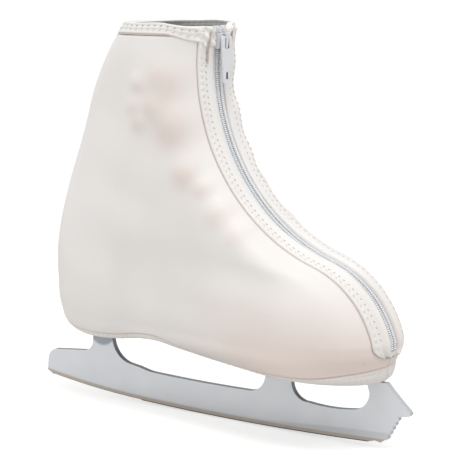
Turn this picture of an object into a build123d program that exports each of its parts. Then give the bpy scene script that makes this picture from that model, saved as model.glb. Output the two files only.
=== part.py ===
from build123d import *
import os
from math import asin, cos, degrees, hypot, radians, sin, sqrt

import numpy as np

# A figure skate in a zipped stretch cover: blade, leather boot and cover.
# Millimetres. +X is the toe, +Y the wearer's left, +Z up, z = 0 is the ice.
os.makedirs("parts", exist_ok=True)

# ---------------------------------------------------------------- sizes
# Blade
blade_length = 284.0
blade_thickness = 3.8
rocker_radius = 2134.0
rocker_low_x = 10.0
tail_rocker_radius = 700.0
tail_rocker_x = -60.0
runner_depth = 20.8
hollow_radius = 11.0
hollow_depth = 0.16
pick_teeth = 5
tooth_depth = 1.4
pick_tip_radius = 1.9
heel_post = (-100.5, -85.5)
mid_post = (39.5, 57.5)
toe_post = (113.9, 120.6)
toe_post_step_z = 41.0

# Plates and screws
plate_thickness = 3.0
sole_plate_z = 48.5
heel_plate_z = 46.5
screw_shank_d = 4.0
screw_head_d = 8.0
screw_clearance = 0.1
sole_screw_length = 8.0
heel_screw_length = 16.0
sole_screw_places = [(14, 8), (72, 18), (99, 12)]
heel_screw_places = [(-92, 10), (-64, 10)]
sole_plate_circles = [(6, 13), (74, 26), (106, 13)]
heel_plate_circles = [(-86, 16), (-66, 16)]

# Front line of boot and cover: the instep arc, then the toe arc, tangent to each other
instep_x = 124.0
instep_z = 227.0
instep_radius = 122.5
toe_radius = 65.0
join_angle = 252.0
nose_x = 128.6
nose_tuck = 3.4

# Cover
collar_height = 255.0
neoprene = 3.0
top_hem_height = 10.5
bottom_hem_height = 9.5
seam_half_width = 19.0

# Zip
zip_top_z = 253.0
zip_end_z = 58.5
tape_half_width = 6.5
chain_slit = 1.0
chain_end_gap = 0.4
coil_half_width = 3.0
coil_rise = 1.2
tape_depth = 0.8
tape_thickness = 1.2
slider_elevation = 7.7
slider_length = 10.0
slider_half_width = 4.2
slider_gap = 0.4
slider_wall = 1.4
pull_length = 30.0
pull_width = 8.6
pull_thickness = 1.4

# Boot
cover_to_boot = 1.6
throat_gap = 6.0
leather = 3.5
boot_height = 240.0
lining_gap = 0.5
padding = 4.0
outsole_z = sole_plate_z + plate_thickness
outsole_thickness = 6.0
heel_rise = 30.0
insole_thickness = 2.5
footbed_thickness = 4.0
shank_thickness = 2.0
shank_half_width = 8.0
throat_half_width = 13.0
tongue_half_width = 21.0
tongue_depth = 27.0
lacing_y = 18.5
eyelet_levels = [118, 128, 138]
eyelet_radius = 2.2
eyelet_wall = 0.4
eyelet_flange = 0.5
eyelet_flange_radius = 3.8
hook_levels = [154, 172, 190, 208, 226]
hook_foot = 3.0
hook_neck = 1.3
hook_rise = 1.6
hook_metal = 0.7

# ---------------------------------------------------------------- shape of the upper
ankle_z = 124.0
shaft_z = [ankle_z + share * (collar_height - ankle_z) for share in (0.2, 0.46, 0.7, 0.89, 1.02)]
# Level, back x, front radius, outer half widths at 1/4, 1/2, 3/4, back radius, inner half widths
stations = np.array([
    [40.0, -101.0, 32, 33.0, 19.0, 17.0, 20, 33.0, 15.0, 17.0],
    [46.0, -107.0, 38, 40.0, 27.0, 24.0, 24, 39.5, 21.0, 24.0],
    [52.0, -116.0, 42, 43.0, 33.0, 28.5, 27, 42.2, 26.0, 28.5],
    [62.0, -120.5, 46, 44.0, 35.0, 31.0, 30, 42.7, 28.0, 31.0],
    [84.0, -123.0, 54, 42.5, 35.0, 33.0, 31, 41.5, 30.0, 32.5],
    [104.0, -123.0, 62, 37.5, 35.0, 33.5, 31, 37.0, 32.0, 33.0],
    [ankle_z, -119.5, 70, 36.5, 36.0, 33.5, 30, 36.5, 34.5, 33.0],
    [shaft_z[0], -111.5, 74, 35.5, 36.0, 32.0, 29, 35.5, 35.5, 32.0],
    [shaft_z[1], -98.5, 72, 34.5, 35.5, 31.0, 29, 34.5, 35.0, 31.0],
    [shaft_z[2], -87.5, 70, 34.0, 34.5, 30.5, 29, 34.0, 34.5, 30.5],
    [shaft_z[3], -73.5, 64, 32.5, 33.5, 30.0, 28, 32.5, 33.5, 30.0],
    [shaft_z[4], -60.0, 56, 30.5, 31.5, 29.0, 27, 30.5, 31.5, 29.0],
])
quarters = np.array([0.0, 0.25, 0.5, 0.75, 1.0])
quartic = np.linalg.inv(np.vander(quarters, 5, increasing=True))

join = radians(join_angle)
toe_x = instep_x + (instep_radius + toe_radius) * cos(join)
toe_z = instep_z + (instep_radius + toe_radius) * sin(join)
slice_share = np.linspace(0.0, 1.0, 13)


def station(z):
    """Station values at level z, on a cubic that is smooth through the rows of the list."""
    levels = stations[:, 0]
    row = int(np.clip(np.searchsorted(levels, z, side="right") - 1, 0, len(levels) - 2))
    slopes = np.gradient(stations[:, 1:], levels, axis=0)
    step = levels[row + 1] - levels[row]
    u = (z - levels[row]) / step
    low = stations[row, 1:] * (2 * u**3 - 3 * u**2 + 1) + step * slopes[row] * (u**3 - 2 * u**2 + u)
    high = stations[row + 1, 1:] * (3 * u**2 - 2 * u**3) + step * slopes[row + 1] * (u**3 - u**2)
    return low + high


def front_x(z, inset):
    """Front line at level z: the instep arc, the toe arc, and a nose that tucks in near the sole."""
    if z > instep_z + (instep_radius + inset) * sin(join):
        fall = min(z - instep_z, instep_radius * 0.95)
        return instep_x - sqrt((instep_radius + inset) ** 2 - fall**2)
    toe = toe_x + sqrt((toe_radius - inset) ** 2 - (z - toe_z) ** 2)
    tuck = min(max((62.0 - z) / 14.0, 0.0), 1.0)
    return min(toe, nose_x - inset - nose_tuck * (3 * tuck**2 - 2 * tuck**3))


def lasted_points(share, z, sign, inset, front):
    """Points of one side at level z, from the front line (share 0) to the back line (share 1)."""
    values = station(z)
    first = 2 if sign < 0 else 6
    x0 = front_x(z, front)
    length = x0 - values[0] - inset
    s = (1 - np.cos(np.pi * share)) / 2
    quarter, half, three = values[first:first + 3] - inset
    ends = [sqrt(max(r - inset, 4.0) * length / 2) for r in (values[1], values[5])]
    knots = np.array([ends[0], quarter / sqrt(0.75), half, three / sqrt(0.75), ends[1]])
    width = np.vander(s, 5, increasing=True) @ (quartic @ knots)
    return np.stack([x0 - length * s, sign * np.sin(np.pi * share) * width, s * 0 + z], axis=1)


def outline(z, inset, front):
    """Closed ring of points at level z, inset from the sides and back, and by front at the front."""
    near = lasted_points(slice_share, z, -1, inset, front)
    far = lasted_points(slice_share, z, 1, inset, front)
    return np.concatenate([near[::-1], far[1:-1]])


loft_levels = [40.5, 44, 48, 53, 60, 70, 84, 94, 102, 108, 113, 119, 127, 138, 152, 170]
shaft_levels = [collar_height - 63, collar_height - 39, collar_height - 17, collar_height + 2]
ring_knots = [i / (2 * (len(slice_share) - 1)) for i in range(2 * len(slice_share) - 1)]


def lasted_body(inset, front):
    """Solid whose level slices are the outline, moved in by inset and front."""
    with BuildPart() as body:
        for z in loft_levels + shaft_levels:
            ring = [Vector(*place) for place in outline(z, inset, front)]
            with BuildSketch(Plane.XY.offset(z)):
                with BuildLine():
                    add(Edge.make_spline(ring, periodic=True, parameters=ring_knots))
                make_face()
        loft()
    return body.part


def front_strip(near_depth, far_depth, y0, y1, top_z=collar_height + 3, end_z=zip_end_z):
    """Strip that follows the front line between two depths, from y0 to y1."""
    depths = (near_depth, far_depth)
    rise = [180 - degrees(asin((top_z - instep_z) / (instep_radius + d))) for d in depths]
    nose = degrees(asin((66.0 - toe_z) / toe_radius))
    with BuildPart() as strip:
        with BuildSketch(Plane.XZ.offset(-y0)):
            with BuildLine():
                ends = []
                for d, start in zip(depths, rise):
                    top = CenterArc((instep_x, instep_z), instep_radius + d, start, join_angle - start)
                    toe = CenterArc((toe_x, toe_z), toe_radius - d, join_angle - 180,
                                    nose - join_angle + 180)
                    low = toe @ 1
                    tuck = (low.Y - end_z) * 0.13
                    tip = Line(low, (low.X - tuck, end_z))
                    ends.append((top @ 0, tip @ 1))
                Line(ends[0][0], ends[1][0])
                Line(ends[0][1], ends[1][1])
            make_face()
        extrude(amount=y0 - y1)
    return strip.part


def side_region(points, half=60.0):
    """Slab across the skate whose side view is the closed polygon of points."""
    with BuildPart() as slab:
        with BuildSketch(Plane.XZ):
            with BuildLine():
                Polyline(*points, close=True)
            make_face()
        extrude(amount=half, both=True)
    return slab.part


def export(part, name):
    part.label = name
    export_step(part, f"parts/{name}.step")


# ---------------------------------------------------------------- blade
def rocker_z(x):
    """Height of the rocker: the main radius, and a tighter one that is tangent to it at the tail."""
    slope = (tail_rocker_x - rocker_low_x) / rocker_radius
    if x < tail_rocker_x:
        run = x - tail_rocker_x
        return (tail_rocker_x - rocker_low_x) ** 2 / (2 * rocker_radius) + slope * run + run**2 / (
            2 * tail_rocker_radius)
    return (x - rocker_low_x) ** 2 / (2 * rocker_radius)


tail_x = -blade_length / 2
pick_x = blade_length / 2
drag_pick = (pick_x - 20.0, 3.4)
pick_tip = (pick_x - pick_tip_radius, 24.3)
rake_start = (pick_x - 8.4, 21.2)
rake_stop = (drag_pick[0] + 2.8, drag_pick[1] + 2.2)

with BuildPart() as blade_runner:
    with BuildSketch(Plane.XZ):
        with BuildLine():
            # Underside, from the drag pick back to the tail
            heel_end = (tail_x + 5.0, rocker_z(tail_x + 5.0))
            low_front = (drag_pick[0] - 9.5, rocker_z(drag_pick[0] - 9.5))
            Polyline(drag_pick, (drag_pick[0] - 3.9, 4.0), low_front)
            middle = (tail_rocker_x, rocker_z(tail_rocker_x))
            ThreePointArc(low_front, (rocker_low_x, 0.0), middle)
            half_tail = (tail_rocker_x + heel_end[0]) / 2
            ThreePointArc(middle, (half_tail, rocker_z(half_tail)), heel_end)
            # Tail, heel post
            tail_low = (tail_x, heel_end[1] + 2.6)
            Line(heel_end, tail_low)
            Line(tail_low, (tail_x + 0.8, 18.5))
            TangentArc((tail_x + 0.8, 18.5), (tail_x + 9.5, 26.4), tangent=(0.06, 1.0))
            Line((tail_x + 9.5, 26.4), (heel_post[0] - 8.0, 29.0))
            TangentArc((heel_post[0] - 8.0, 29.0), (heel_post[0] - 0.6, 36.5), tangent=(1.0, 0.1))
            Polyline((heel_post[0] - 0.6, 36.5), (heel_post[0], heel_plate_z),
                     (heel_post[1], heel_plate_z), (heel_post[1] + 1.2, 40.0))
            # Top of the runner between heel post and middle post
            web_start = (heel_post[1] + 11.0, rocker_z(heel_post[1] + 11.0) + runner_depth + 3.8)
            web_mid = (-50.0, rocker_z(-50.0) + runner_depth)
            web_end = (mid_post[0] - 13.0, runner_depth + 0.5)
            TangentArc((heel_post[1] + 1.2, 40.0), web_start, tangent=(0.12, -1.0))
            Spline(web_start, (-63.0, 23.9), web_mid, tangents=[(1.0, -0.55), (1.0, -0.04)])
            ThreePointArc(web_mid, (-12.0, rocker_z(-12.0) + runner_depth), web_end)
            TangentArc(web_end, (mid_post[0] - 1.0, 32.0), tangent=(1.0, 0.02))
            Polyline((mid_post[0] - 1.0, 32.0), (mid_post[0], sole_plate_z),
                     (mid_post[1], sole_plate_z), (mid_post[1] + 0.6, 31.5))
            # Window between middle post and toe post
            window_low = (mid_post[1] + 13.0, 20.4)
            TangentArc((mid_post[1] + 0.6, 31.5), window_low, tangent=(0.05, -1.0))
            window_end = (toe_post[0] - 11.5, 21.0)
            ThreePointArc(window_low, (86.0, 19.6), window_end)
            TangentArc(window_end, (toe_post[0], 33.0), tangent=(1.0, 0.1))
            Polyline((toe_post[0], 33.0), (toe_post[0] - 2.0, 39.5), (toe_post[0] - 6.0, 44.0),
                     (toe_post[0] - 6.0, sole_plate_z), (toe_post[1] - 2.6, sole_plate_z),
                     (toe_post[1], toe_post_step_z), (125.6, toe_post_step_z))
            # Pick: rounded tip, then round teeth along the rake down to the drag pick
            tip = [(pick_tip[0] + pick_tip_radius * cos(radians(turn)),
                    pick_tip[1] + pick_tip_radius * sin(radians(turn))) for turn in (42, 0, -80)]
            Spline((125.6, toe_post_step_z), (pick_x - 9.0, 33.4), tip[0])
            ThreePointArc(*tip)
            Line(tip[2], rake_start)
            run = [(rake_stop[i] - rake_start[i]) / pick_teeth for i in range(2)]
            out = (-run[1] / hypot(*run), run[0] / hypot(*run))
            for tooth in range(pick_teeth):
                root, crest, next_root = [(rake_start[0] + run[0] * (tooth + share) + out[0] * reach,
                                           rake_start[1] + run[1] * (tooth + share) + out[1] * reach)
                                          for share, reach in ((0, 0), (0.5, tooth_depth), (1, 0))]
                ThreePointArc(root, crest, next_root)
            Line(rake_stop, drag_pick)
        make_face()
    extrude(amount=blade_thickness / 2, both=True)
    # Hollow ground along the underside, so that each edge stands proud of the middle
    tail_slope = (tail_rocker_x - rocker_low_x) / rocker_radius
    tail_centre_x = tail_rocker_x - tail_rocker_radius * tail_slope
    tail_centre_z = rocker_z(tail_rocker_x) + tail_rocker_radius
    grooves = [(rocker_low_x, rocker_radius, rocker_radius, tail_rocker_x, low_front[0]),
               (tail_centre_x, tail_centre_z, tail_rocker_radius, heel_end[0], tail_rocker_x)]
    for x, z, radius, start_x, end_x in grooves:
        first, last = (asin((place - x) / radius) for place in (start_x, end_x))
        along = Plane((x, 0, z), x_dir=(0, 1, 0), z_dir=(cos(first), 0, sin(first)))
        with BuildSketch(along):
            with Locations((0, hollow_depth - hollow_radius - radius)):
                Circle(hollow_radius)
        revolve(axis=Axis((x, 0, z), (0, -1, 0)), revolution_arc=degrees(last - first),
                mode=Mode.SUBTRACT)
export(blade_runner.part, "blade_runner")


def plate(circles, z):
    """Flat plate whose outline wraps round the circles, with countersunk holes to be cut later."""
    with BuildPart() as flat:
        with BuildSketch(Plane.XY.offset(z)):
            for x, radius in circles:
                with Locations((x, 0)):
                    Circle(radius)
            make_hull()
        extrude(amount=plate_thickness)
    return flat.part


def screws(places, z, length, extra=0.0):
    """Countersunk wood screws, head down at z, one each side of the middle at every place."""
    spots = [(x, y * side) for x, y in places for side in (-1, 1)]
    head_height = (screw_head_d - screw_shank_d) / 2
    with BuildPart() as group:
        with Locations([(x, y, z) for x, y in spots]):
            Cone(screw_head_d / 2 + extra, screw_shank_d / 2 + extra, head_height,
                 align=(Align.CENTER, Align.CENTER, Align.MIN))
            Cylinder(screw_shank_d / 2 + extra, length,
                     align=(Align.CENTER, Align.CENTER, Align.MIN))
    return group.part


def screw_set(places, z, length):
    """The screws with a cross recess in each head."""
    with BuildPart() as group:
        add(screws(places, z, length))
        with Locations([(x, y * side, z) for x, y in places for side in (-1, 1)]):
            for size in ((3.6, 0.8, 1.0), (0.8, 3.6, 1.0)):
                Box(*size, align=(Align.CENTER, Align.CENTER, Align.MIN), mode=Mode.SUBTRACT)
    return group.part


sole_blank = plate(sole_plate_circles, sole_plate_z)
sole_holes = screws(sole_screw_places, sole_plate_z, sole_screw_length, screw_clearance)
with BuildPart() as sole_plate:
    add(sole_blank)
    add(sole_holes, mode=Mode.SUBTRACT)
export(sole_plate.part, "sole_plate")

heel_blank = plate(heel_plate_circles, heel_plate_z)
heel_holes = screws(heel_screw_places, heel_plate_z, heel_screw_length, screw_clearance)
with BuildPart() as heel_plate:
    add(heel_blank)
    add(heel_holes, mode=Mode.SUBTRACT)
export(heel_plate.part, "heel_plate")

sole_plate_screws = screw_set(sole_screw_places, sole_plate_z, sole_screw_length)
export(sole_plate_screws, "sole_plate_screws")
heel_plate_screws = screw_set(heel_screw_places, heel_plate_z, heel_screw_length)
export(heel_plate_screws, "heel_plate_screws")

# ---------------------------------------------------------------- boot
side_inset = neoprene + cover_to_boot
boot_front = neoprene + throat_gap
boot_solid = lasted_body(side_inset, boot_front)
boot_hollow = lasted_body(side_inset + leather, boot_front + leather)
lining_inset = side_inset + leather + lining_gap
lining_front = boot_front + leather + lining_gap
lining_solid = lasted_body(lining_inset, lining_front)
lining_hollow = lasted_body(lining_inset + padding, lining_front + padding)

heel_line_z = outsole_z + heel_rise


def sole_band(low, high):
    """Slab between two heights above the walking face of the outsole, across the whole width."""
    with BuildPart() as band:
        with BuildSketch(Plane.XZ):
            with BuildLine():
                for h in (low, high):
                    Line((135, outsole_z + h), (0, outsole_z + h))
                    Spline((0, outsole_z + h), (-30, outsole_z + 13.5 + h), (-60, heel_line_z - 3 + h),
                           tangents=[(-1, 0), (-1, 0.25)])
                    Line((-60, heel_line_z - 3 + h), (-135, heel_line_z + h))
                Line((135, outsole_z + low), (135, outsole_z + high))
                Line((-135, heel_line_z + low), (-135, heel_line_z + high))
            make_face()
        extrude(amount=60, both=True)
    return band.part


outsole_band = sole_band(0, outsole_thickness)
shank_band = sole_band(outsole_thickness - shank_thickness, outsole_thickness)
with BuildPart() as shank:
    add(shank_band)
    with Locations((-42, 0, 0)):
        Box(96, 2 * shank_half_width, 400, mode=Mode.INTERSECT)
export(shank.part, "shank")

with BuildPart() as outsole:
    add(boot_solid)
    add(outsole_band, mode=Mode.INTERSECT)
    add(shank.part, mode=Mode.SUBTRACT)
    add(screws(sole_screw_places, sole_plate_z, sole_screw_length), mode=Mode.SUBTRACT)
export(outsole.part, "outsole")

heel_top = sole_band(-heel_rise - 6, 0)
heel_base = heel_plate_z + plate_thickness
breast = side_region([(-130, heel_base), (-50, heel_base), (-56, heel_line_z), (-130, heel_line_z + 3)])
with BuildPart() as heel_block:
    add(boot_solid)
    add(breast, mode=Mode.INTERSECT)
    add(heel_top, mode=Mode.INTERSECT)
    add(screws(heel_screw_places, heel_plate_z, heel_screw_length), mode=Mode.SUBTRACT)
export(heel_block.part, "heel_block")

insole_top = outsole_thickness + insole_thickness
with BuildPart() as insole_board:
    add(boot_hollow)
    add(sole_band(outsole_thickness, insole_top), mode=Mode.INTERSECT)
export(insole_board.part, "insole_board")

with BuildPart() as footbed:
    add(lining_solid)
    add(sole_band(insole_top, insole_top + footbed_thickness), mode=Mode.INTERSECT)
export(footbed.part, "footbed")

above_sole = sole_band(outsole_thickness, 260)
vamp_line = [(-40, 40), (140, 40), (140, 160), (88, 160), (34, 76), (-40, 60)]
throat = front_strip(-4, 45, -throat_half_width, throat_half_width, end_z=30)
throat_end_x = 88.0
collar_line = [(-140, 0), (140, 0), (140, boot_height), (-60, boot_height - 4), (-140, boot_height - 10)]
with BuildPart() as boot_shell:
    add(boot_solid)
    add(boot_hollow, mode=Mode.SUBTRACT)
    add(above_sole, mode=Mode.INTERSECT)
    add(side_region(collar_line), mode=Mode.INTERSECT)
with BuildPart() as throat_cut:
    add(throat)
    with Locations((throat_end_x, 0, 0)):
        Box(200, 100, 600, align=(Align.MAX, Align.CENTER, Align.CENTER), mode=Mode.INTERSECT)
with BuildPart() as vamp:
    add(boot_shell.part)
    add(side_region(vamp_line), mode=Mode.INTERSECT)
    add(throat_cut.part, mode=Mode.SUBTRACT)
export(vamp.part, "vamp")


def lacing_plane(z, sign):
    """Plane on the boot's outer face at level z, beside the throat, with its normal outwards."""
    share = np.linspace(0.0, 0.4, 200)
    rows = [lasted_points(share, level, sign, side_inset, boot_front) for level in (z - 1, z, z + 1)]
    places = [row[np.argmin(abs(abs(row[:, 1]) - lacing_y))] for row in rows]
    along = Vector(*(rows[1][120] - rows[1][20]))
    up = Vector(*(places[2] - places[0]))
    normal = along.cross(up) * sign
    return Plane(Vector(*places[1]), x_dir=up, z_dir=normal)


with BuildPart() as eyelets:
    for z in eyelet_levels:
        for sign in (-1, 1):
            with BuildSketch(lacing_plane(z, sign).offset(eyelet_flange)):
                Circle(eyelet_flange_radius)
                Circle(eyelet_radius, mode=Mode.SUBTRACT)
            extrude(amount=-eyelet_flange)
            with BuildSketch(lacing_plane(z, sign)):
                Circle(eyelet_radius + eyelet_wall)
                Circle(eyelet_radius, mode=Mode.SUBTRACT)
            extrude(amount=-leather)
export(eyelets.part, "eyelets")

with BuildPart() as eyelet_holes:
    for z in eyelet_levels:
        for sign in (-1, 1):
            with BuildSketch(lacing_plane(z, sign).offset(4)):
                Circle(eyelet_radius + eyelet_wall)
            extrude(amount=-12)
with BuildPart() as eyelet_seats:
    add(eyelets.part)
    for z in eyelet_levels:
        for sign in (-1, 1):
            with BuildSketch(lacing_plane(z, sign)):
                Circle(eyelet_flange_radius + 0.05)
            extrude(amount=1.5)

# Speed hooks: a foot on the leather, a neck, and a tongue bent back over it, away from the throat
with BuildPart() as lace_hooks:
    for z in hook_levels:
        for sign in (-1, 1):
            seat = lacing_plane(z, sign)
            with BuildSketch(seat):
                Circle(hook_foot)
            extrude(amount=hook_metal)
            with BuildSketch(seat.offset(hook_metal)):
                Circle(hook_neck)
            extrude(amount=hook_rise)
            with BuildSketch(seat.offset(hook_metal + hook_rise)):
                with Locations((0, 1.2 if sign > 0 else -1.2)):
                    SlotOverall(2.5 * hook_foot, 1.3 * hook_foot, rotation=90)
            extrude(amount=hook_metal)
export(lace_hooks.part, "lace_hooks")
with BuildPart() as hook_seats:
    for z in hook_levels:
        for sign in (-1, 1):
            with BuildSketch(lacing_plane(z, sign)):
                Circle(hook_foot + 0.4)
            extrude(amount=hook_metal + hook_rise)

for side, name in ((-1, "quarter_outer"), (1, "quarter_inner")):
    with BuildPart() as quarter:
        add(boot_shell.part)
        add(side_region(vamp_line), mode=Mode.SUBTRACT)
        add(throat_cut.part, mode=Mode.SUBTRACT)
        add(eyelet_holes.part, mode=Mode.SUBTRACT)
        add(eyelet_seats.part, mode=Mode.SUBTRACT)
        add(hook_seats.part, mode=Mode.SUBTRACT)
        with Locations((0, side * 50, 150)):
            Box(400, 100, 400, mode=Mode.INTERSECT)
    export(quarter.part, name)

tongue_region = front_strip(0, tongue_depth, -tongue_half_width, tongue_half_width, end_z=30)
tongue_side = [(-140, 96), (84, 96), (100, 140), (140, boot_height + 5), (-140, boot_height + 5)]
with BuildPart() as tongue:
    add(lining_solid)
    add(lining_hollow, mode=Mode.SUBTRACT)
    add(tongue_region, mode=Mode.INTERSECT)
    add(side_region(tongue_side), mode=Mode.INTERSECT)
export(tongue.part, "tongue")

padding_side = [(-140, 190), (-24, 190), (-28, boot_height - 6), (-140, boot_height - 12)]
with BuildPart() as collar_padding:
    add(lining_solid)
    add(lining_hollow, mode=Mode.SUBTRACT)
    add(side_region(padding_side), mode=Mode.INTERSECT)
export(collar_padding.part, "collar_padding")


# ---------------------------------------------------------------- cover
cover_outer = lasted_body(0, 0)
cover_inner = lasted_body(neoprene, neoprene)
hem_edge = [(-130, 48.5), (-108, 46.0), (-70, 45.8), (-44, 47.0), (-37, 51.6), (-26, 51.2),
            (-12, 47.0), (10, 44.2), (45, 42.8), (90, 42.0), (118, 41.8), (135, 41.8)]
with BuildPart() as above_hem:
    with BuildSketch(Plane.XZ):
        with BuildLine():
            Spline(*hem_edge)
            Polyline(hem_edge[-1], (135, collar_height), (-130, collar_height), hem_edge[0])
        make_face()
    extrude(amount=60, both=True)
with BuildPart() as above_seam:
    with BuildSketch(Plane.XZ):
        with BuildLine():
            seam = [(x, z + bottom_hem_height) for x, z in hem_edge]
            Spline(*seam)
            Polyline(seam[-1], (135, collar_height), (-130, collar_height), seam[0])
        make_face()
    extrude(amount=60, both=True)

facing_depth = 17.0
facings = front_strip(-6, facing_depth, -seam_half_width, seam_half_width)
zip_slot = front_strip(-6, facing_depth, -tape_half_width, tape_half_width)
with BuildPart() as cover_shell:
    add(cover_outer)
    add(cover_inner, mode=Mode.SUBTRACT)
    add(above_hem.part, mode=Mode.INTERSECT)
top_seam_z = collar_height - top_hem_height

for side, word in ((-1, "outer"), (1, "inner")):
    half_place = Location((0, side * 50, 150))
    with BuildPart() as panel:
        add(cover_shell.part)
        add(above_seam.part, mode=Mode.INTERSECT)
        add(facings, mode=Mode.SUBTRACT)
        with Locations((0, side * 50, 0)):
            Box(400, 100, top_seam_z, align=(Align.CENTER, Align.CENTER, Align.MIN),
                mode=Mode.INTERSECT)
    export(panel.part, f"cover_panel_{word}")
    with BuildPart() as top_hem:
        add(cover_shell.part)
        add(facings, mode=Mode.SUBTRACT)
        with Locations((0, side * 50, top_seam_z)):
            Box(400, 100, 60, align=(Align.CENTER, Align.CENTER, Align.MIN), mode=Mode.INTERSECT)
    export(top_hem.part, f"top_hem_{word}")
    with BuildPart() as bottom_hem:
        add(cover_shell.part)
        add(above_seam.part, mode=Mode.SUBTRACT)
        with Locations(half_place):
            Box(400, 100, 400, mode=Mode.INTERSECT)
    export(bottom_hem.part, f"bottom_hem_{word}")
    with BuildPart() as facing:
        add(cover_shell.part)
        add(facings, mode=Mode.INTERSECT)
        add(zip_slot, mode=Mode.SUBTRACT)
        with Locations(half_place):
            Box(400, 100, 400, mode=Mode.INTERSECT)
    export(facing.part, f"zip_facing_{word}")

# ---------------------------------------------------------------- zip
stop_length = 2.4
slider_sweep = degrees(slider_length / instep_radius)
stop_sweep = degrees(stop_length / instep_radius)
stop_low_angle = slider_elevation + slider_sweep / 2 + 0.15
coil_top_z = instep_z + instep_radius * sin(radians(stop_low_angle)) - chain_end_gap
for side, word in ((-1, "outer"), (1, "inner")):
    low, high = sorted((side * chain_slit, side * tape_half_width))
    tape = front_strip(tape_depth, tape_depth + tape_thickness, low, high, top_z=zip_top_z)
    export(tape, f"zip_tape_{word}")
    low, high = sorted((side * chain_slit, side * coil_half_width))
    coil = front_strip(-coil_rise, tape_depth, low, high, top_z=coil_top_z,
                       end_z=zip_end_z + stop_length)
    export(coil, f"zip_coil_{word}")

stop_rise = coil_rise + 0.3


def arc_block(depth_low, depth_high, y0, y1, angle_low, angle_high):
    """Block that follows the instep arc between two depths, two sideways places and two angles."""
    turn = radians(180 - angle_low)
    plane = Plane((instep_x, 0, instep_z), x_dir=(cos(turn), 0, sin(turn)),
                  z_dir=(-sin(turn), 0, cos(turn)))
    with BuildPart() as block:
        with BuildSketch(plane):
            with Locations((instep_radius + (depth_low + depth_high) / 2, (y0 + y1) / 2)):
                Rectangle(depth_high - depth_low, y1 - y0)
        revolve(axis=Axis((instep_x, 0, instep_z), (0, 1, 0)), revolution_arc=angle_high - angle_low)
    return block.part


with BuildPart() as zip_top_stops:
    for side in (-1, 1):
        low, high = sorted((side * chain_slit, side * (coil_half_width + 0.3)))
        add(arc_block(-stop_rise, tape_depth, low, high, stop_low_angle, stop_low_angle + stop_sweep))
export(zip_top_stops.part, "zip_top_stops")

end_x = front_x(zip_end_z, 0)
with BuildPart() as zip_bottom_stop:
    add(front_strip(-stop_rise, tape_depth, -coil_half_width - 0.3, coil_half_width + 0.3,
                    top_z=collar_height))
    with Locations((end_x, 0, zip_end_z)):
        Box(40, 20, 2 * stop_length, mode=Mode.INTERSECT)
export(zip_bottom_stop.part, "zip_bottom_stop")

# Slider: outer plate with side lips, inner plate, and the post that parts the two coils
lip_low = slider_elevation - slider_sweep / 2
lip_high = slider_elevation + slider_sweep / 2
plate_near = -coil_rise - slider_gap
plate_face = plate_near - slider_wall
inner_near = tape_depth + tape_thickness + slider_gap
lip_y = coil_half_width + slider_gap
post_half = chain_slit - 0.3
post_sweep = 0.3 * slider_sweep
outer_plate = arc_block(plate_face, plate_near, -slider_half_width, slider_half_width, lip_low, lip_high)
inner_plate = arc_block(inner_near, inner_near + 1.2, -slider_half_width, slider_half_width,
                        lip_low, lip_high)
post = arc_block(plate_near - 0.2, inner_near + 0.2, -post_half, post_half,
                 lip_high - post_sweep, lip_high)
lip_depth = tape_depth - slider_gap
lips = [arc_block(plate_near - 0.2, lip_depth, *sorted((side * lip_y, side * slider_half_width)),
                  lip_low, lip_high) for side in (-1, 1)]

elevation = radians(slider_elevation)
face_radius = instep_radius + plate_face
face = (instep_x - face_radius * cos(elevation), 0, instep_z + face_radius * sin(elevation))
down = (-sin(elevation), 0, -cos(elevation))
outward = (cos(elevation), 0, -sin(elevation))
crown_half = 1.2
crown_window = 2.2
crown_bar = 1.0
crown_reach = (-5.0, 4.0)
crown_plane = Plane(face, x_dir=down, z_dir=(0, -1, 0))
with BuildPart() as zip_slider:
    add(outer_plate)
    add(inner_plate)
    add(post)
    for lip in lips:
        add(lip)
    with BuildSketch(crown_plane):
        with Locations(((crown_reach[0] + crown_reach[1]) / 2, (crown_window + crown_bar) / 2 - 0.2)):
            Rectangle(crown_reach[1] - crown_reach[0], crown_window + crown_bar + 0.4)
        with Locations(((crown_reach[0] + crown_reach[1]) / 2, crown_window / 2)):
            Rectangle(crown_reach[1] - crown_reach[0] - 2 * crown_bar, crown_window,
                      mode=Mode.SUBTRACT)
    extrude(amount=crown_half, both=True)
export(zip_slider.part, "zip_slider")

# Pull: flat tab that hangs from its top bar inside the slider's crown
bar_height = 1.6
pin_along = crown_reach[0] + crown_bar + 1.3
pin_out = crown_window / 2
pin = tuple(face[i] + down[i] * pin_along + outward[i] * pin_out for i in range(3))
hole_half = crown_half + 0.5
hole_length = 6.4
with BuildPart() as zip_pull:
    with BuildSketch(Plane(pin, x_dir=(0, 1, 0), z_dir=(1, 0, 0))):
        with Locations((0, bar_height / 2 - pull_length / 2)):
            RectangleRounded(pull_width, pull_length, 2.0)
        with Locations((0, -bar_height / 2 - hole_length / 2)):
            Rectangle(2 * hole_half, hole_length, mode=Mode.SUBTRACT)
        with Locations((0, bar_height / 2 - pull_length + 5.0)):
            SlotOverall(4.6, 1.8, rotation=90, mode=Mode.SUBTRACT)
    extrude(amount=pull_thickness / 2, both=True)
export(zip_pull.part, "zip_pull")
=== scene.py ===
import math

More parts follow.
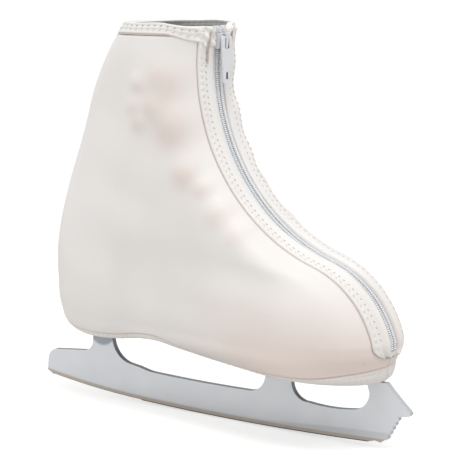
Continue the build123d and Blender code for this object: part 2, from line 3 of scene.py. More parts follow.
import bmesh
import bpy
import numpy as np
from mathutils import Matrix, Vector


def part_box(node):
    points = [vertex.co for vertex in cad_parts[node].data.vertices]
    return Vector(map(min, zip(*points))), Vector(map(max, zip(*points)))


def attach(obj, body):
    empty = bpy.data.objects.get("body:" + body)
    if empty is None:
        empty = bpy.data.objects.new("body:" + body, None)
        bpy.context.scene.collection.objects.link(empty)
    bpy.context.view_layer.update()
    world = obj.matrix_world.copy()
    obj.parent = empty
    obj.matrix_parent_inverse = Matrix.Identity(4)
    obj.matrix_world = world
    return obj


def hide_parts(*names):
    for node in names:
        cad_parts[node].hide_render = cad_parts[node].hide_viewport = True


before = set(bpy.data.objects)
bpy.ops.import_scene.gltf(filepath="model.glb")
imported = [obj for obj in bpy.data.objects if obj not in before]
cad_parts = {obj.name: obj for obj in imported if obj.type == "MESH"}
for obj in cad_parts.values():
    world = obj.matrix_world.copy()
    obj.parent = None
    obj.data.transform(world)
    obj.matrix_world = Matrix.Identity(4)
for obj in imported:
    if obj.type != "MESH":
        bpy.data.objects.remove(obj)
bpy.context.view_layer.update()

# ---------------------------------------------------------------- studio
# The skate stands on its blade on a white sweep, lit by three soft lamps and a pale room.
# The camera is a long lens at boot height, in front of the toe and on the outer side.
target = Vector((0.010423, 0.0, 0.12359))
camera_azimuth = math.radians(34.0)
camera_elevation = math.radians(9.7253)
camera_distance = 1.0

lens = bpy.data.cameras.new("studio_camera")
lens.lens = 123.2
lens.sensor_width = 36.0
camera = bpy.data.objects.new("studio_camera", lens)
bpy.context.collection.objects.link(camera)
flat = math.cos(camera_elevation) * camera_distance
camera.location = target + Vector((math.sin(camera_azimuth) * flat, -math.cos(camera_azimuth) * flat,
                                   math.sin(camera_elevation) * camera_distance))
camera.rotation_euler = (target - camera.location).to_track_quat("-Z", "Y").to_euler()
bpy.context.scene.camera = camera

bpy.context.scene.view_settings.view_transform = "Standard"
room_light, backdrop_light = 0.76, 1.05
world = bpy.data.worlds.new("pale_room")
world.use_nodes = True
backdrop = world.node_tree.nodes["Background"]
backdrop.inputs["Color"].default_value = (1.0, 1.0, 1.0, 1.0)
seen = world.node_tree.nodes.new("ShaderNodeLightPath")
level = world.node_tree.nodes.new("ShaderNodeMapRange")
level.inputs["To Min"].default_value = room_light
level.inputs["To Max"].default_value = backdrop_light
world.node_tree.links.new(seen.outputs["Is Camera Ray"], level.inputs["Value"])
world.node_tree.links.new(level.outputs["Result"], backdrop.inputs["Strength"])
bpy.context.scene.world = world


def soft_lamp(name, place, size, power):
    """Square area lamp at place, aimed at the middle of the skate."""
    data = bpy.data.lights.new(name, "AREA")
    data.size = size
    data.energy = power
    lamp = bpy.data.objects.new(name, data)
    bpy.context.collection.objects.link(lamp)
    lamp.location = place
    lamp.rotation_euler = (target - Vector(place)).to_track_quat("-Z", "Y").to_euler()
    return lamp


lamps = [soft_lamp("overhead_lamp", (0.35, -0.35, 1.5), 0.45, 6.4),
         soft_lamp("side_lamp", (1.2, 0.1, 1.3), 0.5, 3.0),
         soft_lamp("fill_lamp", (-1.2, -1.3, 0.8), 1.2, 4.5)]


def new_material(name, color, roughness, metallic=0.0):
    """Material with one Principled BSDF, and its node tree's nodes and links."""
    material = bpy.data.materials.new(name)
    material.use_nodes = True
    shader = material.node_tree.nodes["Principled BSDF"]
    shader.inputs["Base Color"].default_value = (*color, 1.0)
    shader.inputs["Roughness"].default_value = roughness
    shader.inputs["Metallic"].default_value = metallic
    return material, shader, material.node_tree.nodes, material.node_tree.links


bpy.ops.mesh.primitive_plane_add(size=30.0, location=(0.0, 0.0, -0.0005))
floor = bpy.context.object
floor.name = "floor"
floor_material, floor_shader, floor_nodes, floor_links = new_material("white_sweep", (0.62, 0.61, 0.60), 0.8)
floor_shader.inputs["Emission Color"].default_value = (1.0, 1.0, 1.0, 1.0)
floor_lift = 0.55
floor_seen = floor_nodes.new("ShaderNodeLightPath")
floor_glow = floor_nodes.new("ShaderNodeMapRange")
floor_glow.inputs["To Max"].default_value = floor_lift
floor_links.new(floor_seen.outputs["Is Camera Ray"], floor_glow.inputs["Value"])
floor_links.new(floor_glow.outputs["Result"], floor_shader.inputs["Emission Strength"])
floor.data.materials.append(floor_material)


# ---------------------------------------------------------------- blade, plates and screws
# Chromed steel runner, satin on its sides, with bare ground steel along the edge, screwed through
# two flat plates to the sole and to the heel. Each screw has a countersunk head.
def make_texture_group(name, dial, outputs, fine_kind, broad_scale, details=(2.0, 2.0), squash=1.0):
    """Group of a fine texture, whose scale is the dial, and a broad noise, both in object space.
    A squash under 1 slows the fine texture along X, which draws it out into lines."""
    group = bpy.data.node_groups.new(name, "ShaderNodeTree")
    dial_socket = group.interface.new_socket(name=dial, in_out="INPUT", socket_type="NodeSocketFloat")
    dial_socket.default_value = 900.0
    for output in outputs:
        group.interface.new_socket(name=output, in_out="OUTPUT", socket_type="NodeSocketFloat")
    nodes, links = group.nodes, group.links
    given, result = nodes.new("NodeGroupInput"), nodes.new("NodeGroupOutput")
    place, stretch = nodes.new("ShaderNodeTexCoord"), nodes.new("ShaderNodeMapping")
    stretch.inputs["Scale"].default_value = (squash, 1.0, 1.0)
    fine, broad = nodes.new(fine_kind), nodes.new("ShaderNodeTexNoise")
    broad.inputs["Scale"].default_value = broad_scale
    for texture, detail in zip((fine, broad), details):
        texture.inputs["Detail"].default_value = detail
    links.new(place.outputs["Object"], stretch.inputs["Vector"])
    links.new(stretch.outputs["Vector"], fine.inputs["Vector"])
    links.new(given.outputs[dial], fine.inputs["Scale"])
    links.new(place.outputs["Object"], broad.inputs["Vector"])
    links.new(fine.outputs[0], result.inputs[outputs[0]])
    links.new(broad.outputs[0], result.inputs[outputs[1]])
    return group


brushed_metal = make_texture_group("brushed_metal", "Line Density", ("Lines", "Smudge"),
                                   "ShaderNodeTexNoise", 45.0, (3.0, 2.0), 0.02)


def math_node(nodes, links, operation, first, second, clamp=False):
    """Math node whose two inputs are each a socket or a number."""
    node = nodes.new("ShaderNodeMath")
    node.operation = operation
    node.use_clamp = clamp
    for slot, given in zip(node.inputs, (first, second)):
        if isinstance(given, (int, float)):
            slot.default_value = given
        else:
            links.new(given, slot)
    return node.outputs[0]


def mix_color(nodes, links, factor, first, second):
    """Colour mix node: each of first and second is a colour of three numbers or a socket."""
    node = nodes.new("ShaderNodeMix")
    node.data_type = "RGBA"
    links.new(factor, node.inputs["Factor"])
    for slot, given in ((node.inputs[6], first), (node.inputs[7], second)):
        if isinstance(given, tuple):
            slot.default_value = (*given, 1.0)
        else:
            links.new(given, slot)
    return node.outputs[2]


def ramp(nodes, links, value, low, high):
    """Value mapped smoothly from low..high to 0..1."""
    node = nodes.new("ShaderNodeMapRange")
    node.interpolation_type = "SMOOTHSTEP"
    links.new(value, node.inputs["Value"])
    node.inputs["From Min"].default_value = low
    node.inputs["From Max"].default_value = high
    return node.outputs["Result"]


def bump(nodes, links, shader, height, distance, strength=1.0):
    """Bump node from a height to the shader's normal."""
    node = nodes.new("ShaderNodeBump")
    node.inputs["Distance"].default_value = distance
    node.inputs["Strength"].default_value = strength
    links.new(height, node.inputs["Height"])
    links.new(node.outputs["Normal"], shader.inputs["Normal"])


# The rocker's radius and lowest point; behind tail_x the curve rises faster, on a 0.7 m radius
rocker_radius = 2.134
rocker_low_x = 0.010
tail_x = -0.060
tail_rise = 1 / 1.4 - 1 / (2 * rocker_radius)
# The heel post's side is darker above a curve that rises from heel_post_x by post_sag times the
# distance squared, and the painted shadow that the ground bevel casts in a band above the ground
# edge is bevel_reach wider at the toe
heel_post_x = -0.093
post_sag = 50.0
bevel_reach = 0.0035


def make_blade_steel():
    """Satin chrome; the last 3 mm above the rocker are bare warm steel that ends in a dark ground
    line, and the narrow faces between the two sides are darker, less so at the toe's end."""
    material, shader, nodes, links = new_material("satin_chrome", (0.5, 0.53, 0.58), 0.34, 0.6)
    group = nodes.new("ShaderNodeGroup")
    group.node_tree = brushed_metal
    place = nodes.new("ShaderNodeTexCoord")
    apart = nodes.new("ShaderNodeSeparateXYZ")
    links.new(place.outputs["Object"], apart.inputs["Vector"])
    along = math_node(nodes, links, "SUBTRACT", apart.outputs["X"], rocker_low_x)
    curve = math_node(nodes, links, "DIVIDE", math_node(nodes, links, "MULTIPLY", along, along),
                      2.0 * rocker_radius)
    behind = math_node(nodes, links, "SUBTRACT", apart.outputs["X"], tail_x)
    behind = math_node(nodes, links, "MINIMUM", behind, 0.0)
    tail = math_node(nodes, links, "MULTIPLY", math_node(nodes, links, "MULTIPLY", behind, behind), tail_rise)
    above = math_node(nodes, links, "SUBTRACT", apart.outputs["Z"], curve)
    above = math_node(nodes, links, "SUBTRACT", above, tail)
    chrome = mix_color(nodes, links, group.outputs["Smudge"], (0.80, 0.83, 0.865), (0.90, 0.93, 0.965))
    from_post = math_node(nodes, links, "SUBTRACT", apart.outputs["X"], heel_post_x)
    sag = math_node(nodes, links, "MULTIPLY", from_post, from_post)
    sag = math_node(nodes, links, "MULTIPLY", sag, post_sag)
    post_height = math_node(nodes, links, "SUBTRACT", apart.outputs["Z"], sag)
    post_height = ramp(nodes, links, post_height, 0.0335, 0.0360)
    post_back = ramp(nodes, links, apart.outputs["X"], -0.06, -0.07)
    rear_post = math_node(nodes, links, "MULTIPLY", post_height, post_back)
    post = mix_color(nodes, links, rear_post, chrome, (0.42, 0.46, 0.49))
    # Painted shadow: the side is darker in a band above the ground edge, where the bevel shades it, and the
    # band reaches higher towards the toe.
    ahead = ramp(nodes, links, apart.outputs["X"], 0.020, 0.110)
    reach = math_node(nodes, links, "MULTIPLY", ahead, bevel_reach)
    past = math_node(nodes, links, "SUBTRACT", above, reach)
    shadow = math_node(nodes, links, "MULTIPLY", ramp(nodes, links, past, 0.0042, 0.0026), 0.5)
    bevel_shadowed = mix_color(nodes, links, shadow, post, (0.62, 0.62, 0.65))
    ground = mix_color(nodes, links, ramp(nodes, links, above, 0.0032, 0.0022), bevel_shadowed, (0.60, 0.53, 0.46))
    edge = mix_color(nodes, links, ramp(nodes, links, above, 0.0008, 0.0004), ground, (0.10, 0.095, 0.09))
    side = nodes.new("ShaderNodeNewGeometry")
    facing = nodes.new("ShaderNodeSeparateXYZ")
    links.new(side.outputs["Normal"], facing.inputs["Vector"])
    flatness = math_node(nodes, links, "ABSOLUTE", facing.outputs["Y"], 0.0)
    narrow = ramp(nodes, links, flatness, 0.8, 0.4)
    toe_side = ramp(nodes, links, apart.outputs["X"], 0.117, 0.121)
    face = mix_color(nodes, links, toe_side, (0.22, 0.23, 0.25), (0.62, 0.62, 0.66))
    links.new(mix_color(nodes, links, narrow, edge, face), shader.inputs["Base Color"])
    rough = math_node(nodes, links, "MULTIPLY_ADD", group.outputs["Lines"], 0.16)
    rough.node.inputs[2].default_value = 0.26
    links.new(rough, shader.inputs["Roughness"])
    bump(nodes, links, shader, group.outputs["Lines"], 0.00005, 0.35)
    return material


def paint_node(name, material):
    """The CAD node shows this material."""
    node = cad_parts[name]
    node.data.materials.clear()
    node.data.materials.append(material)


def make_surface(name, group_tree, density, dark, light, roughness, depth=None, strength=1.0,
                 metallic=0.0, broad=True):
    """Material whose colour goes from dark to light by the group's broad texture, or by its fine one,
    with the fine one as its bump if a depth is given."""
    material, shader, nodes, links = new_material(name, light, roughness, metallic)
    group = nodes.new("ShaderNodeGroup")
    group.node_tree = group_tree
    group.inputs[0].default_value = density
    links.new(mix_color(nodes, links, group.outputs[int(broad)], dark, light), shader.inputs["Base Color"])
    if depth is not None:
        bump(nodes, links, shader, group.outputs[0], depth, strength)
    return material


plate_steel = make_surface("plate_chrome", brushed_metal, 1600.0, (0.496, 0.52, 0.552), (0.62, 0.65, 0.69),
                           0.3, 0.00004, 0.4, metallic=1.0)
screw_steel = make_surface("screw_zinc", brushed_metal, 1600.0, (0.544, 0.544, 0.528), (0.68, 0.68, 0.66),
                           0.35, 0.00004, 0.4, metallic=1.0)
paint_node("blade_runner", make_blade_steel())
for plate in ("sole_plate", "heel_plate"):
    paint_node(plate, plate_steel)
for fixing in ("sole_plate_screws", "heel_plate_screws", "shank", "eyelets", "lace_hooks"):
    paint_node(fixing, screw_steel)


# ---------------------------------------------------------------- leather boot
# White leather vamp and quarters on a stacked leather sole and heel, with a fibre insole board.
# The leather is lasted over the board and cemented, and most of it is under the cover.
leather_grain = make_texture_group("leather_grain", "Cells Per Metre", ("Height", "Stain"),
                                   "ShaderNodeTexVoronoi", 30.0, (0.0, 2.0))
boot_leather = make_surface("boot_leather", leather_grain, 900.0, (0.78, 0.76, 0.72), (0.86, 0.85, 0.82),
                            0.45, 0.0003, 0.5)
sole_leather = make_surface("sole_leather", leather_grain, 500.0, (0.66, 0.62, 0.56), (0.80, 0.78, 0.74),
                            0.55, 0.0003, 0.5)
fibre_board = make_surface("fibre_board", leather_grain, 1800.0, (0.42, 0.29, 0.18), (0.52, 0.38, 0.24),
                           0.8, 0.0003, 0.5)
for upper_node in ("vamp", "quarter_outer", "quarter_inner"):
    paint_node(upper_node, boot_leather)
for sole_node in ("outsole", "heel_block"):
    paint_node(sole_node, sole_leather)
paint_node("insole_board", fibre_board)


# ---------------------------------------------------------------- linings and tongue
# Brushed knit over foam inside the collar and under the foot, and a leather tongue with a foam
# filling. Each is cut from foam, covered, and swells a little between its edges.
fine_knit = make_texture_group("fine_knit", "Loops Per Metre", ("Height", "Shade"),
                               "ShaderNodeTexNoise", 22.0, (2.0, 1.0))


def make_lining(name, light, dark, loops, depth):
    """Brushed cloth: loops as bump, colour between dark and light by the broad shade, soft sheen."""
    material, shader, nodes, links = new_material(name, light, 0.9)
    group = nodes.new("ShaderNodeGroup")
    group.node_tree = fine_knit
    group.inputs["Loops Per Metre"].default_value = loops
    shade = ramp(nodes, links, group.outputs["Shade"], 0.35, 0.65)
    links.new(mix_color(nodes, links, shade, dark, light), shader.inputs["Base Color"])
    shader.inputs["Sheen Weight"].default_value = 0.25
    shader.inputs["Sheen Roughness"].default_value = 0.4
    bump(nodes, links, shader, group.outputs["Height"], depth, 0.5)
    return material


lining_knit = make_lining("lining_knit", (0.72, 0.68, 0.62), (0.60, 0.56, 0.50), 700.0, 0.0004)


def welded_copy(node_name, name):
    """Own object with the CAD node's mesh, its loose triangles merged and its normals outwards."""
    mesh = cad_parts[node_name].data.copy()
    shape = bmesh.new()
    shape.from_mesh(mesh)
    bmesh.ops.remove_doubles(shape, verts=shape.verts, dist=0.00001)
    bmesh.ops.recalc_face_normals(shape, faces=shape.faces)
    shape.to_mesh(mesh)
    shape.free()
    mesh.materials.clear()
    piece = bpy.data.objects.new(name, mesh)
    bpy.context.collection.objects.link(piece)
    piece.matrix_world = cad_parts[node_name].matrix_world
    return piece


def apply_modifier(piece, name):
    """Applies one modifier to the piece's mesh."""
    bpy.ops.object.select_all(action="DESELECT")
    piece.select_set(True)
    bpy.context.view_layer.objects.active = piece
    bpy.ops.object.modifier_apply(modifier=name)


def puff(piece, voxel, pressure, reach):
    """Swells the piece by cloth pressure over 20 frames. No point moves further than reach."""
    remesh = piece.modifiers.new("even_mesh", "REMESH")
    remesh.mode = "VOXEL"
    remesh.voxel_size = voxel
    apply_modifier(piece, "even_mesh")
    count = len(piece.data.vertices)
    start = np.empty(3 * count)
    piece.data.vertices.foreach_get("co", start)
    cloth = piece.modifiers.new("swell", "CLOTH")
    cloth.settings.use_pressure = True
    cloth.settings.uniform_pressure_force = pressure
    cloth.settings.effector_weights.gravity = 0.0
    for step in range(1, 21):
        bpy.context.scene.frame_set(step)
    apply_modifier(piece, "swell")
    end = np.empty(3 * count)
    piece.data.vertices.foreach_get("co", end)
    move = (end - start).reshape(-1, 3)
    length = np.linalg.norm(move, axis=1, keepdims=True)
    move *= np.minimum(1.0, reach / np.maximum(length, 1e-9))
    piece.data.vertices.foreach_set("co", (start.reshape(-1, 3) + move).ravel())
    bpy.context.scene.frame_set(1)
    rounding = piece.modifiers.new("rounding", "SUBSURF")
    rounding.levels = rounding.render_levels = 1
    piece.data.polygons.foreach_set("use_smooth", [True] * len(piece.data.polygons))


for node_name, piece_name, slot_name, stuff, fill, reach in (
        ("collar_padding", "collar_pad", "lining_fabric", lining_knit, 0.8, 0.0008),
        ("footbed", "foot_pad", "lining_fabric", lining_knit, 0.9, 0.0004),
        ("tongue", "tongue_pad", "boot_leather", boot_leather, 0.8, 0.0006)):
    pad = welded_copy(node_name, piece_name)
    puff(pad, 0.002, 3.0, reach)
    pad.data.materials.append(stuff)
    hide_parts(node_name)
    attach(pad, "skate")

# ---------------------------------------------------------------- cover panels
# Two panels of off-white stretch knit bonded to 3 mm neoprene, one each side, pulled tight over the
# boot. They are sewn together down the heel and under the zip, with the cut edges rolled in.
mm = 0.001
neoprene = 3.0
instep_x, instep_z, instep_radius = 124.0, 227.0, 122.5
toe_radius = 65.0
join_angle = math.radians(252.0)
toe_x = instep_x + (instep_radius + toe_radius) * math.cos(join_angle)
toe_z = instep_z + (instep_radius + toe_radius) * math.sin(join_angle)
nose_x, nose_tuck = 128.6, 3.4
top_seam_z = 246.8
# Level, back x, front radius, outer half widths at 1/4, 1/2, 3/4, back radius, inner half widths
last_rows = np.array([
    [40.0, -101.0, 32, 33.0, 19.0, 17.0, 20, 33.0, 15.0, 17.0],
    [46.0, -107.0, 38, 40.0, 27.0, 24.0, 24, 39.5, 21.0, 24.0],
    [52.0, -116.0, 42, 43.0, 33.0, 28.5, 27, 42.2, 26.0, 28.5],
    [62.0, -120.5, 46, 44.0, 35.0, 31.0, 30, 42.7, 28.0, 31.0],
    [84.0, -123.0, 54, 42.5, 35.0, 33.0, 31, 41.5, 30.0, 32.5],
    [104.0, -123.0, 62, 37.5, 35.0, 33.5, 31, 37.0, 32.0, 33.0],
    [124.0, -119.5, 70, 36.5, 36.0, 33.5, 30, 36.5, 34.5, 33.0],
    [150.2, -111.5, 74, 35.5, 36.0, 32.0, 29, 35.5, 35.5, 32.0],
    [184.3, -98.5, 72, 34.5, 35.5, 31.0, 29, 34.5, 35.0, 31.0],
    [215.7, -87.5, 70, 34.0, 34.5, 30.5, 29, 34.0, 34.5, 30.5],
    [240.6, -73.5, 64, 32.5, 33.5, 30.0, 28, 32.5, 33.5, 30.0],
    [257.6, -60.0, 56, 30.5, 31.5, 29.0, 27, 30.5, 31.5, 29.0],
])
hem_edge = np.array([[-130, 49.5], [-108, 46.5], [-84, 45.6], [-60, 47.2], [-42, 50.0], [-28, 50.4],
                     [-12, 47.6], [10, 44.4], [45, 42.8], [90, 42.0], [118, 41.8], [135, 41.8]])
hem_band = np.array([[-130, 11.0], [-108, 7.0], [-84, 4.6], [-60, 4.2], [-31, 4.6], [0, 3.6], [35, 3.0],
                     [70, 3.2], [95, 4.8], [115, 8.0], [135, 10.5]])
quartic = np.linalg.inv(np.vander([0.0, 0.25, 0.5, 0.75, 1.0], 5, increasing=True))


def smooth_through(place, knots, values):
    """Cubic between the knots, with the mean slope of the neighbours at each of them."""
    row = np.clip(np.searchsorted(knots, place, side="right") - 1, 0, len(knots) - 2)
    slopes = np.gradient(values, knots, axis=0)
    step = (knots[row + 1] - knots[row])[..., None]
    u = (place[..., None] - knots[row][..., None]) / step
    low = values[row] * (2 * u**3 - 3 * u**2 + 1) + step * slopes[row] * (u**3 - 2 * u**2 + u)
    high = values[row + 1] * (3 * u**2 - 2 * u**3) + step * slopes[row + 1] * (u**3 - u**2)
    return low + high


def smoothstep(value):
    """0 below 0, 1 above 1, and a cubic with level ends between."""
    value = np.clip(value, 0.0, 1.0)
    return value * value * (3 - 2 * value)


def front_line(z):
    """Forward end of each level: the instep arc, then the toe arc, then a nose tucked in below."""
    join_z = instep_z + instep_radius * math.sin(join_angle)
    fall = np.minimum(z - instep_z, 0.94 * instep_radius)
    instep = instep_x - np.sqrt(np.maximum(instep_radius**2 - fall**2, 0.0))
    toe = toe_x + np.sqrt(np.maximum(toe_radius**2 - (z - toe_z) ** 2, 0.0))
    nose = nose_x - nose_tuck * smoothstep((62.0 - z) / 14.0)
    return np.where(z > join_z, instep, np.minimum(toe, nose))


def fullness(share, z, side):
    """Half width of the level over the sine of the way round, as a quartic through five widths."""
    row = smooth_through(z, last_rows[:, 0], last_rows[:, 1:])
    length = front_line(z) - row[..., 0]
    widths = row[..., 2:5] if side < 0 else row[..., 6:9]
    knots = np.stack([np.sqrt(row[..., 1] * length / 2), widths[..., 0] / math.sqrt(0.75),
                      widths[..., 1], widths[..., 2] / math.sqrt(0.75),
                      np.sqrt(row[..., 5] * length / 2)], -1)
    along = (1 - np.cos(np.pi * share)) / 2
    powers = np.stack([along**power for power in range(5)], -1)
    return np.sum((knots @ quartic.T) * powers, -1), length, along


def upper(share, z, side):
    """Point of the cover at level z, share of the way round from the front line to the back line:
    x falls back by the cosine of the way round, y grows with its sine times the fullness."""
    share, z = np.broadcast_arrays(np.asarray(share, float), np.asarray(z, float))
    width, length, along = fullness(share, z, side)
    return np.stack([front_line(z) - length * along, side * np.sin(np.pi * share) * width, z], -1)


def upper_normal(share, z, side):
    """Outward normal: the cross product of a short step round and a short step up."""
    round_step = upper(share + 0.004, z, side) - upper(share - 0.004, z, side)
    up_step = upper(share, z + 0.6, side) - upper(share, z - 0.6, side)
    normal = np.cross(round_step, up_step) * side
    return normal / np.linalg.norm(normal, axis=-1, keepdims=True)


def share_at(y, z, side):
    """Way round at which the half width at level z is y, found by repeated arcsine."""
    y, z = np.broadcast_arrays(np.asarray(y, float), np.asarray(z, float))
    share = np.full(z.shape, 0.1)
    for _ in range(14):
        share = np.arcsin(np.clip(y / fullness(share, z, side)[0], 0.0, 0.95)) / np.pi
    return share


def zip_border(z):
    """Half width of the zip's opening in the panels: a quarter ellipse, then straight up."""
    rise = np.clip((z - 57.0) / 9.0, 0.0, 1.0)
    return 18.8 * np.sqrt(1 - (1 - rise) ** 2)


def spread(count, ends):
    """Shares from 0 to 1, with extra ones close to both ends for a rolled edge."""
    close = np.array(ends)
    return np.unique(np.concatenate([np.linspace(0, 1, count), close, 1 - close]))


def travelled(points, axis):
    """Distance along the grid's axis, from its first row."""
    steps = np.linalg.norm(np.diff(points, axis=axis), axis=-1)
    start = np.zeros_like(np.take(steps, [0], axis=axis))
    return np.concatenate([start, np.cumsum(steps, axis=axis)], axis=axis)


def add_mesh(name, points, uv, materials, quads, triangles=(), face_slots=None):
    """Mesh object from points in millimetres, with smooth faces turned outwards and a UV in metres."""
    mesh = bpy.data.meshes.new(name)
    mesh.from_pydata((points * mm).tolist(), [], [*quads.tolist(), *np.asarray(triangles).tolist()])
    for material in materials:
        mesh.materials.append(material)
    if face_slots is not None:
        mesh.polygons.foreach_set("material_index", face_slots)
    layer = mesh.uv_layers.new(name="UVMap")
    corners = np.empty(len(mesh.loops), dtype=np.int32)
    mesh.loops.foreach_get("vertex_index", corners)
    layer.data.foreach_set("uv", (uv[corners] * mm).ravel())
    mesh.polygons.foreach_set("use_smooth", [True] * len(mesh.polygons))
    shape = bmesh.new()
    shape.from_mesh(mesh)
    bmesh.ops.recalc_face_normals(shape, faces=shape.faces)
    shape.to_mesh(mesh)
    shape.free()
    piece = bpy.data.objects.new(name, mesh)
    bpy.context.collection.objects.link(piece)
    return piece


def belongs(piece, body, node_name=None):
    """The piece rides on the body, and stands for the CAD node if one is given."""
    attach(piece, body)
    if node_name is not None:
        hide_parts(node_name)


def grid_faces(index):
    """Quads between neighbours of a grid of vertex numbers."""
    return np.stack([index[:-1, :-1], index[1:, :-1], index[1:, 1:], index[:-1, 1:]], -1).reshape(-1, 4)


def add_beads(name, beads, material):
    """One object of many closed beads, from their points by bead, ring and place round the ring."""
    count, rings, around = beads.shape[:3]
    bead = np.arange(rings * around).reshape(rings, around)
    bead = grid_faces(np.concatenate([bead, bead[:, :1]], axis=1))
    fan = np.array([[0, corner + 1, corner + 2] for corner in range(around - 2)])
    fans = np.concatenate([fan[:, ::-1], fan + around * (rings - 1)])
    shift = (rings * around * np.arange(count))[:, None, None]
    points = beads.reshape(-1, 3)
    return add_mesh(name, points, np.zeros((len(points), 2)), [material],
                    (bead[None] + shift).reshape(-1, 4), (fans[None] + shift).reshape(-1, 3))


def slab(name, middle, normal, half, relief, materials):
    """Closed sheet about a middle surface: it is half thick each way, its edges are rolled where
    half falls to 0, and relief lifts its outer face only."""
    outer = middle + normal * (half + relief)[..., None]
    inner = middle - normal * half[..., None]
    rows, columns = middle.shape[:2]
    front = np.arange(rows * columns).reshape(rows, columns)
    back = front.copy()
    inside = np.zeros((rows, columns), bool)
    inside[1:-1, 1:-1] = True
    back[inside] = rows * columns + np.arange(inside.sum())
    points = np.concatenate([outer.reshape(-1, 3), inner[inside]])
    uv = np.stack([travelled(middle, 0), middle[..., 2]], -1)
    uv = np.concatenate([uv.reshape(-1, 2), uv[inside]])
    faces = np.concatenate([grid_faces(front), grid_faces(back)[:, ::-1]])
    slots = np.repeat([0, len(materials) - 1], len(faces) // 2)
    return add_mesh(name, points, uv, materials, faces, face_slots=slots)


def rolled_half(middle, thickness, radius):
    """Half thickness that falls to 0 at the four edges on a quarter circle of the radius."""
    reach = []
    for axis in (0, 1):
        forward = travelled(middle, axis)
        total = np.take(forward, [-1], axis=axis)
        reach.append(np.minimum(forward, total - forward))
    near = np.clip(np.minimum(*reach) / radius, 0.0, 1.0)
    return thickness / 2 * np.sqrt(1 - (1 - near) ** 2)


def make_cover_fabric(name, toe_shade_strength):
    """Satin stretch knit: off-white with a soft sheen. Painted shade makes it darker and pinker low on
    the forefoot and on the lower slope of each lump.
    """
    material, shader, nodes, links = new_material(name, (0.80, 0.77, 0.74), 0.55)
    group = nodes.new("ShaderNodeGroup")
    group.node_tree = fine_knit
    group.inputs["Loops Per Metre"].default_value = 1500.0
    place = nodes.new("ShaderNodeTexCoord")
    apart = nodes.new("ShaderNodeSeparateXYZ")
    links.new(place.outputs["Object"], apart.inputs["Vector"])
    shade = ramp(nodes, links, group.outputs["Shade"], 0.3, 0.7)
    cloth = mix_color(nodes, links, shade, (0.835, 0.808, 0.782), (0.875, 0.852, 0.828))
    # Painted shade: the cloth is darker and pinker low on the forefoot, where less light reaches, scaled by
    # the toe's shade strength.
    low = ramp(nodes, links, apart.outputs["Z"], 0.110, 0.052)
    forward = ramp(nodes, links, apart.outputs["X"], -0.02, 0.07)
    toe = math_node(nodes, links, "MULTIPLY", math_node(nodes, links, "MULTIPLY", low, forward), toe_shade_strength)
    # Painted shade on the lower slope of each lump, read from a point attribute.
    lump_shade = nodes.new("ShaderNodeAttribute")
    lump_shade.attribute_name = "lump_shade"
    painted_warm_shade = math_node(nodes, links, "ADD", toe, lump_shade.outputs["Fac"], clamp=True)
    links.new(mix_color(nodes, links, painted_warm_shade, cloth, (0.82, 0.70, 0.64)), shader.inputs["Base Color"])
    shader.inputs["Sheen Weight"].default_value = 0.35
    shader.inputs["Sheen Roughness"].default_value = 0.35
    bump(nodes, links, shader, group.outputs["Height"], 0.00012, 0.4)
    return material


cover_knit = make_cover_fabric("cover_knit", 0.85)
hem_knit = make_cover_fabric("hem_knit", 0.2)
# The cover's inside knit, painted dark grey for the shade that falls inside the collar, where it shows.
shaded_inside_knit = make_lining("shaded_inside_knit", (0.50, 0.50, 0.49), (0.36, 0.36, 0.35), 500.0, 0.0006)

# Soft lumps over the boot's hooks and folds: x, z, height, radius
lumps = {-1: [(-17, 221, 2.4, 13), (-36, 217, 1.3, 6), (-11, 193, 2.8, 12), (-38, 203, 1.3, 6),
              (-35, 193, 1.4, 6), (-24, 203, 1.6, 8), (-1, 164, 2.2, 9), (12, 155, 1.5, 6),
              (24, 141, 1.7, 8), (38, 129, 1.3, 7)],
         1: [(-30, 215, 1.8, 10), (-22, 196, 1.8, 9), (-6, 172, 1.8, 8), (14, 150, 1.5, 8),
             (36, 128, 1.2, 8)]}


def cover_relief(points, side):
    """Height of the soft lumps, each a round bell, and of a long shallow ripple round the ankle."""
    x, z = points[..., 0], points[..., 2]
    height = 0.35 * np.sin(z / 7.5 + x / 19.0) * np.exp(-(((x + 45) / 40) ** 2 + ((z - 145) / 40) ** 2))
    for lump_x, lump_z, rise, radius in lumps[side]:
        height = height + rise * np.exp(-((x - lump_x) ** 2 + (z - lump_z) ** 2) / radius**2)
    return height


def add_lump_shade(piece, side):
    """Point attribute of painted shade: the cloth is painted darker and warmer on the lower slope of every
    lump.
    """
    count = len(piece.data.vertices)
    place = np.empty(3 * count)
    piece.data.vertices.foreach_get("co", place)
    x, _, z = place.reshape(-1, 3).T / mm
    painted_warm_shade = np.zeros(count)
    for lump_x, lump_z, rise, radius in lumps[side]:
        painted_warm_shade += 0.34 * rise * np.exp(-((x - lump_x) ** 2 + (z - lump_z + 0.3 * radius) ** 2) / radius**2)
    layer = piece.data.attributes.new("lump_shade", "FLOAT", "POINT")
    layer.data.foreach_set("value", np.minimum(painted_warm_shade, 0.6))


def hem_seam_level(x):
    """Level of the seam above the bottom hem: the folded edge plus the band that isn't curled under."""
    edge = smooth_through(x, hem_edge[:, 0], hem_edge[:, 1:])[..., 0]
    return edge + smooth_through(x, hem_band[:, 0], hem_band[:, 1:])[..., 0]


def panel_grid(round_share, up_share, side):
    """Way round and level of each grid point, from the zip's border to the back, hem to top seam."""
    low = np.full(round_share.shape, 60.0)
    drawn = (1 - round_share) ** 3
    for _ in range(8):
        front = share_at(zip_border(low), low, side)
        place = upper(round_share + front * drawn, low, side)
        low = hem_seam_level(place[..., 0])
    level = low[:, None] + (top_seam_z - low[:, None]) * up_share[None, :]
    front = share_at(zip_border(level), level, side)
    return round_share[:, None] + front * drawn[:, None], level


